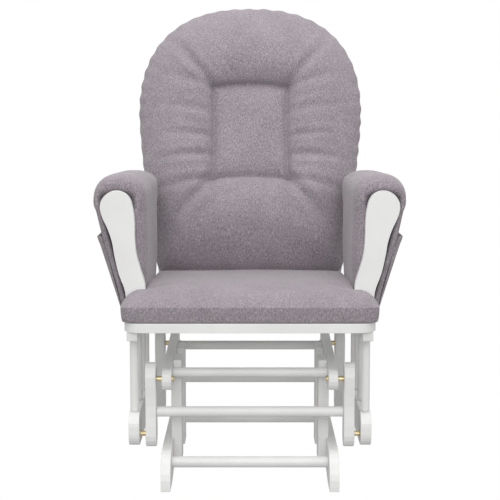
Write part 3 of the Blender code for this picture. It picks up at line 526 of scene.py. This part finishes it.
# %% The back cushion, ring by ring
def back_cushion():
    around = 320
    middle = np.array((0.0, 0.36))
    angles = np.linspace(0, 2 * math.pi, around, endpoint=False)
    compass = np.stack((np.cos(angles), np.sin(angles)), 1)
    rim_angle = np.arctan2(RIM[:, 1] - middle[1], RIM[:, 0] - middle[0])
    rim_reach = np.hypot(RIM[:, 0] - middle[0], RIM[:, 1] - middle[1])
    order = np.argsort(rim_angle)
    reach = np.interp(angles, rim_angle[order], rim_reach[order], period=2 * math.pi)
    tries = np.linspace(0.01, 0.20, 1200)
    probe = middle + tries[:, None, None] * compass[None]
    held = np.maximum(*panel_gap(probe[..., 0], probe[..., 1])) < 0
    panel_reach = tries[held.sum(0) - 1]
    edge = middle + reach[:, None] * compass
    run = np.concatenate(([0], np.cumsum(np.hypot(*np.diff(edge, axis=0).T))))
    wave = np.cos(2 * math.pi * run / PUCKER + 0.9 * np.sin(3 * angles) + 0.6 * np.sin(7 * angles))
    wave = wave * (0.75 + 0.25 * np.sin(5 * angles + 1))
    free = np.clip((edge[:, 1] - 0.10) / 0.1, 0, 1)       # the bottom rim isn't gathered
    inner = np.linspace(0.05, 1, 13)[:, None] * panel_reach
    even = np.linspace(0, 1, 46)[1:]
    eased = (0.55 * even + 0.45 * (0.5 - 0.5 * np.cos(math.pi * even)))[:, None]
    outer = panel_reach + eased * (reach * (1 + 0.0055 * wave * free) - panel_reach)
    spots = middle + np.concatenate((inner, outer))[..., None] * compass[None]
    rings = len(spots)
    flat = spots.reshape(-1, 2)
    x, up = flat[:, 0], flat[:, 1]
    rim_gap = from_line(flat, RIM)
    rim_gap[-around:] = 0.0
    side, rise = panel_gap(x, up)
    outside = np.hypot(np.maximum(side, 0), np.maximum(rise, 0))
    inside = -np.maximum(side, rise)
    seam, rim, swell = PANEL_DEEP, RIM_DEEP, SWELL
    share = outside / (outside + rim_gap + 1e-9)
    ring = seam + (rim - seam) * share ** 1.6 \
        + swell * np.sin(math.pi * np.clip(share, 0, 1) ** 0.92) ** 0.62
    panel = seam + 0.012 * (1 - np.exp(-np.maximum(inside, 0) / 0.018))
    front = np.where(outside > 0, ring, panel)
    from_seam = np.where(outside > 0, outside, np.maximum(inside, 0))
    front = front - 0.0042 * np.exp(-(from_seam / 0.0045) ** 2)      # the stitches pull in
    for hand, vary in ((-1, 1.15), (1, 0.9)):
        corner_high = (hand * PANEL_HALF, 0.4686)
        corner_low = (hand * PANEL_HALF, 0.2423)
        folds = ((corner_high, (hand * 0.200, 0.598 + 0.01 * vary), 0.0095 * vary, 0.010),
                 (corner_high, (hand * 0.225, 0.505), 0.0050, 0.011),
                 (corner_high, (hand * 0.112, 0.580), 0.0038, 0.010),
                 (corner_low, (hand * 0.192, 0.120), 0.0100, 0.011),
                 (corner_low, (hand * 0.240, 0.215), 0.0060 * vary, 0.010),
                 (corner_low, (hand * 0.098, 0.115), 0.0052, 0.011),
                 ((hand * PANEL_HALF, 0.300), (hand * 0.240, 0.292), 0.0062, 0.009),
                 ((hand * PANEL_HALF, 0.345), (hand * 0.215, 0.352), 0.0040, 0.008),
                 ((hand * PANEL_HALF, 0.405), (hand * 0.225, 0.425), 0.0040, 0.010),
                 ((hand * 0.038, PANEL_LOW), (hand * 0.044, 0.150), 0.0040, 0.009),
                 ((hand * 0.040, PANEL_TOP), (hand * 0.050, 0.560), 0.0026, 0.009))
        for start, end, depth, width in folds:
            front = front - crease(flat, start, end, depth, width) * (outside > 0)
    pleat = np.tile(wave * free, rings)
    front = front - 0.0042 * (0.5 - 0.5 * pleat) * np.exp(-rim_gap / 0.020) * (rim_gap > 0)
    front += 0.0010 * np.sin(31 * x + 17 * up) * np.sin(23 * x - 29 * up) * (rim_gap > 0.01)
    rear_in = np.clip(rim_gap / 0.045, 0, 1)
    rest = SLAT_FRONT + 0.0013
    rear = rim - (rim - rest) * np.sqrt(1 - (1 - rear_in) ** 2)
    rear = rear + 0.003 * (0.5 - 0.5 * pleat) * np.exp(-rim_gap / 0.018) * (rim_gap > 0)
    front = front.reshape(rings, around)
    rear = rear.reshape(rings, around)
    across, slope_up = spots[..., 0], spots[..., 1]
    loops = [on_back(across[ring], slope_up[ring], front[ring]) for ring in range(rings)]
    loops += [on_back(across[ring], slope_up[ring], rear[ring])
              for ring in range(rings - 2, -1, -1)]
    return skin("back_cushion_cover", loops, poles=True)


sewn("back_cushion_sewn", back_cushion(), ["back_cushion"])

# %% [markdown]
# ## The seat cushion
# The seat is a slab of foam in a boxed cover: a top panel, a bottom panel and
# a strip between them. It is T-shaped, because its front corners reach round
# in front of the arm supports. The foam crowns the top panel away from its
# seam, and the strip leans in a little below it. Rows of points run across the
# cushion, each as wide as the T is there. An edge crease keeps the seam crisp
# when the mesh is subdivided.

# %% Shape of the seat cushion
seat_low, seat_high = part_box("seat_cushion")
paddle_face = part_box("paddle_right")[0].y
SEAT_SEAM = 0.377            # height of the top panel's seam
SEAT_BASE = seat_low.z + 0.5 * MM
SEAT_CROWN = 0.0360          # how far the top rises above its seam
SEAT_CORNER = 0.019


def seat_cushion():
    ear = seat_high.x + 1 * MM
    stem = ear - 0.050
    front, rear = seat_low.y, seat_high.y
    notch = paddle_face - 2 * MM
    corner = SEAT_CORNER
    rows = np.concatenate((front + corner * (1 - np.cos(np.linspace(0, math.pi / 2, 9))),
                           np.linspace(front + corner + 0.004, notch - 0.006, 6),
                           np.linspace(notch - 0.003, notch + 0.004, 5),
                           np.linspace(notch + 0.008, rear - 0.010, 46),
                           rear - 0.008 * np.cos(np.linspace(0.3, math.pi / 2, 5))))
    step = np.clip((rows - notch + 0.003) / 0.006, 0, 1)
    half = ear - (ear - stem) * step
    nose = np.clip((front + corner - rows) / corner, 0, 1)
    half = half - corner * (1 - np.sqrt(np.maximum(0, 1 - nose ** 2)))
    tail = np.clip((rows - rear + 0.008) / 0.008, 0, 1)
    half = half - 0.008 * (1 - np.sqrt(np.maximum(0, 1 - tail ** 2)))
    columns = np.sin(math.pi / 2 * np.linspace(-1, 1, 73))
    x = half[:, None] * columns[None, :]
    y = np.repeat(rows[:, None], len(columns), 1)
    right = np.stack((half, rows), 1)
    flat = np.stack((x.ravel(), y.ravel()), 1)
    stem_line = np.array(((stem, notch), (stem, rear)))
    side_gap = np.minimum(from_line(flat, stem_line, closed=False),
                          from_line(flat, stem_line * (-1, 1), closed=False))
    nose_line = right[right[:, 1] < front + corner]
    nose_line = np.concatenate((nose_line[::-1], nose_line * (-1, 1)))
    gap = from_line(flat, nose_line, closed=False)
    ear_gap = np.maximum(ear - np.abs(flat[:, 0]), 0)
    crown = SEAT_CROWN * (1 - np.exp(-gap / 0.027)) * (1 - np.exp(-ear_gap / 0.012))
    crown -= 0.0050 * np.exp(-side_gap / 0.010) * (flat[:, 1] > notch + 0.012)
    crown -= 0.0190 * np.clip((flat[:, 1] + 0.22) / 0.30, 0, 1)
    crown += 0.0012 * np.sin(19 * flat[:, 0] + 1) * np.sin(14 * flat[:, 1]) \
        * np.clip(gap / 0.05, 0, 1)
    for hand in (-1, 1):
        crown -= crease(flat, (hand * 0.214, notch + 0.004), (hand * 0.150, -0.250), 0.004, 0.010)
        crown -= crease(flat, (hand * 0.214, notch + 0.004), (hand * 0.236, -0.344), 0.003, 0.008)
    z = (SEAT_SEAM + crown).reshape(x.shape)
    edge = [(0, column) for column in range(len(columns))]
    edge += [(row, len(columns) - 1) for row in range(1, len(rows))]
    edge += [(len(rows) - 1, column) for column in range(len(columns) - 2, -1, -1)]
    edge += [(row, 0) for row in range(len(rows) - 2, 0, -1)]
    ring = np.array([(x[spot], y[spot]) for spot in edge])
    ahead = np.roll(ring, -1, 0) - np.roll(ring, 1, 0)
    normal = np.stack((ahead[:, 1], -ahead[:, 0]), 1)
    normal /= np.maximum(np.hypot(normal[:, 0], normal[:, 1])[:, None], 1e-9)
    bulge = np.where(ring[:, 1] < notch - 0.004, 1.2 * MM, 0.3 * MM)
    tuck = np.where(ring[:, 1] < notch - 0.004, 3.0 * MM, 0.3 * MM)     # the strip leans in
    verts = np.stack((x.ravel(), y.ravel(), z.ravel()), 1).tolist()
    columns_count = len(columns)
    faces = []
    for row in range(len(rows) - 1):
        for column in range(columns_count - 1):
            spot = row * columns_count + column
            faces.append((spot, spot + 1, spot + columns_count + 1, spot + columns_count))
    previous = [row * columns_count + column for row, column in edge]
    levels = 9
    for level in range(1, levels + 1):
        share = level / levels
        height = SEAT_SEAM + (SEAT_BASE - SEAT_SEAM) * share
        swell = bulge * math.sin(math.pi * share) ** 0.7 - tuck * share
        loop = ring + normal * swell[:, None]
        start = len(verts)
        verts += [(a, b, height) for a, b in loop.tolist()]
        current = list(range(start, start + len(ring)))
        for step_index in range(len(ring)):
            after = (step_index + 1) % len(ring)
            faces.append((previous[step_index], current[step_index],
                          current[after], previous[after]))
        previous = current
    lookup = {spot: previous[index] for index, spot in enumerate(edge)}
    for row in range(1, len(rows) - 1):
        for column in range(1, columns_count - 1):
            lookup[(row, column)] = len(verts)
            verts.append((x[row, column] * 0.982, notch + (y[row, column] - notch) * 0.94,
                          SEAT_BASE))
    for row in range(len(rows) - 1):
        for column in range(columns_count - 1):
            faces.append((lookup[(row, column)], lookup[(row + 1, column)],
                          lookup[(row + 1, column + 1)], lookup[(row, column + 1)]))
    mesh = bpy.data.meshes.new("seat_cushion_cover")
    mesh.from_pydata(verts, [], faces)
    mesh.validate()
    seam = {row * columns_count + column for row, column in edge}
    sharp = mesh.attributes.new("crease_edge", "FLOAT", "EDGE")
    sharp.data.foreach_set("value", [0.85 if seam.issuperset(line.vertices) else 0.0
                                     for line in mesh.edges])
    return mesh


sewn("seat_cushion_sewn", seat_cushion(), ["seat_cushion"])

# %% [markdown]
# ## The arm pads
# Each arm pad is a saddle: a fat roll of fibre over the armrest, a thin flap
# down the outside and a thick one down the inside. Its section is drawn twice,
# once for the outer cloth and once for the lining, and the two are swept from
# the paddle back to the slope of the back cushion. The front end rounds over
# like a dome, and a seam runs where the roll meets the flaps.

# %% Sizes of the arm pads
pad_low, pad_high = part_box("arm_pad_right")
REST_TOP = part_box("armrest_right")[1].z
FLAP = 13 * MM               # the outer flap's thickness
ROLL = 2.3                   # how square the roll is
ROLL_RISE = 54 * MM          # top of the roll above its widest place
ROLL_LOW = 25 * MM           # how far the roll hangs below it
DOME_FRONT = 42 * MM         # how far back the front end rounds over
DOME_REAR = 12 * MM
DOME_FLAP = 9 * MM           # the thin outer flap rounds over much sooner


def flap_at(z):
    """The outer face of the outer flap at a height."""
    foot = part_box("arm_pocket_right")[0].x + 1 * MM
    return foot + 0.2585 * (z - pad_low.z)


# %% Section of the arm pads
def pad_lines():
    """The outer cloth and the lining, as matched points from outer to inner flap."""
    wide_z = REST_TOP - 2 * MM
    middle = (pad_low.x + pad_high.x) / 2
    half = (pad_high.x - pad_low.x) / 2
    join = wide_z - ROLL_LOW
    outer, lining = [], []
    for step in range(20):
        z = pad_low.z + (join - pad_low.z) * step / 20
        outer.append((flap_at(z), z))
        lining.append((flap_at(z) - FLAP, z))
    for step in range(6):
        angle = math.radians(-55 + 11 * step)
        share = (math.cos(angle) - math.cos(math.radians(55))) / (1 - math.cos(math.radians(55)))
        z = wide_z + ROLL_LOW * math.sin(angle) / math.sin(math.radians(55))
        outer.append((flap_at(join) + (pad_high.x - flap_at(join)) * share, z))
        lining.append((flap_at(join) - FLAP + 3 * MM * share, min(z, REST_TOP - 6 * MM)))
    rest_out, rest_in = lining[-1][0], pad_low.x + 34 * MM
    steps = 30
    for step in range(steps + 1):
        angle = math.pi * step / steps
        cosine, sine = math.cos(angle), math.sin(angle)
        outer.append((middle + half * math.copysign(abs(cosine) ** (2 / ROLL), cosine),
                      wide_z + ROLL_RISE * sine ** (2 / ROLL)))
        lining.append(((rest_out + rest_in) / 2
                       + (rest_out - rest_in) / 2 * math.copysign(abs(cosine) ** 0.5, cosine),
                       REST_TOP - 4 * MM + 5.5 * MM * sine ** 0.5))
    foot = SEAT_SEAM + 8 * MM
    for step in range(1, 25):
        share = step / 24
        z = wide_z + (foot - wide_z) * share
        outer.append((pad_low.x, z))
        fat = np.interp(z, (foot, 0.45, 0.50, REST_TOP - 27 * MM, REST_TOP - 24 * MM),
                        (34 * MM, 46 * MM, 50 * MM, 48 * MM, 34 * MM))
        lining.append((pad_low.x + fat, z))
    return np.array(outer), np.array(lining)


# %% Sweep the arm pads
def arm_pad(hand):
    outer, lining = pad_lines()
    core = (outer + lining) / 2
    loop = np.concatenate((outer, lining[::-1]))
    spine = np.concatenate((core, core[::-1]))
    on_outer = np.arange(len(loop)) < len(outer)
    away = spine - loop
    thick = np.maximum(np.hypot(away[:, 0], away[:, 1]), 1e-6)
    rear_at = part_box("arm_pad_right")[1].y
    lean = slope[1] / slope[2]
    front = pad_low.y + 0.5 * MM
    length = rear_at - front
    turns = np.linspace(math.radians(5), math.pi / 2, 19)
    body = np.linspace(DOME_FRONT, length - DOME_REAR, 46)[1:-1]
    stations = np.concatenate((DOME_FRONT * (1 - np.cos(turns)), body,
                               length - DOME_REAR * (1 - np.cos(turns[::-1]))))
    dome = np.interp(np.arange(len(outer)), (0, 19, 34), (DOME_FLAP, DOME_FLAP, DOME_FRONT))
    dome = np.concatenate((dome, dome[::-1]))
    rings = []
    for station in stations:
        near = np.maximum(np.clip(1 - station / dome, 0, 1),
                          max(0.0, 1 - (length - station) / DOME_REAR))
        full = np.sqrt(1 - near ** 2)
        points = spine - away * full[:, None]
        share = station / length
        x, z = points[:, 0].copy(), points[:, 1].copy()
        seam = np.exp(-((z - REST_TOP + 24 * MM) / (2.0 * MM)) ** 2) * on_outer * (x > REST_TOP / 2.2)
        shift = 1.6 * MM * seam
        shift = shift + 2.2 * MM * math.exp(-((station - 2.4 * MM) / (0.8 * MM)) ** 2) * on_outer
        shift += 0.8 * MM * math.sin(46 * station + 1.3 * hand) \
            * np.exp(-((z - REST_TOP) / 0.05) ** 2) * on_outer
        shift += 1.2 * MM * np.sin(34 * z + 21 * station) * on_outer * (z < REST_TOP - 0.03)
        z = z - 0.38 * share * np.maximum(z - REST_TOP - 4 * MM, 0)      # lower towards the back
        x = x + away[:, 0] / thick * shift * full
        z = z + away[:, 1] / thick * shift * full
        rear = rear_at - (pad_high.z - z) * lean
        rings.append(np.stack((hand * x, front + (rear - front) * share, z), 1))
    return skin("arm_pad_cover", rings, caps="band")


for side_name, hand in SIDES:
    sewn("arm_pad_sewn_" + side_name, arm_pad(hand), ["arm_pad_" + side_name])

# %% [markdown]
# ## The pockets
# A patch pocket is one panel, hemmed along its mouth and sewn to the outer
# flap along its bottom and its two ends. Nothing holds the mouth, so it gapes.
# The panel is drawn as two layers: the outer one stands off the flap more and
# more towards the mouth, and the inner one stays by the flap until just below
# it, where it opens the pocket.

# %% Shape of the pockets
pocket_low, pocket_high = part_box("arm_pocket_right")
POCKET_CLOTH = 2.2 * MM
HEM = 18 * MM


def pocket(hand):
    along = np.linspace(0, 1, 41)
    up = np.linspace(0, 1, 33)
    verts, faces = [], []
    for layer in (0, 1):
        for share in up:
            for spot in along:
                z = pocket_low.z - 8 * MM + (pocket_high.z - pocket_low.z + 6 * MM) * share
                y = pocket_low.y + (pocket_high.y - pocket_low.y) * spot
                held = min(1.0, spot / 0.05, (1 - spot) / 0.10) ** 0.5
                gape = (1.0 * MM + 9.5 * MM * share) * held + 0.5 * MM
                gape += 0.8 * MM * math.sin(40 * y + 3) * share * held
                hem = 0.9 * MM * min(1.0, max(0.0, (z - pocket_high.z + HEM) / (1.5 * MM)))
                sag = -3.0 * MM * math.sin(math.pi * spot) * share ** 2
                opened = min(1.0, max(0.0, (share - 0.84) / 0.08))
                stand = gape + POCKET_CLOTH + hem if layer else 0.4 * MM + (gape - 0.4 * MM) * opened
                verts.append((hand * (flap_at(z) + stand), y, z + sag))
    rows, columns = len(up), len(along)
    size = rows * columns
    for row in range(rows - 1):
        for column in range(columns - 1):
            spot = row * columns + column
            faces.append((spot, spot + columns, spot + columns + 1, spot + 1))
            spot += size
            faces.append((spot, spot + 1, spot + columns + 1, spot + columns))
    border = [(0, column) for column in range(columns)] + [(row, columns - 1) for row in range(1, rows)]
    border += [(rows - 1, column) for column in range(columns - 2, -1, -1)]
    border += [(row, 0) for row in range(rows - 2, 0, -1)]
    for here, after in zip(border, border[1:] + border[:1]):
        low_a, low_b = here[0] * columns + here[1], after[0] * columns + after[1]
        faces.append((low_a, low_b, low_b + size, low_a + size))
    mesh = bpy.data.meshes.new("arm_pocket_cover")
    mesh.from_pydata(verts, [], faces)
    mesh.validate()
    return mesh


for side_name, hand in SIDES:
    sewn("arm_pocket_sewn_" + side_name, pocket(hand), ["arm_pocket_" + side_name])
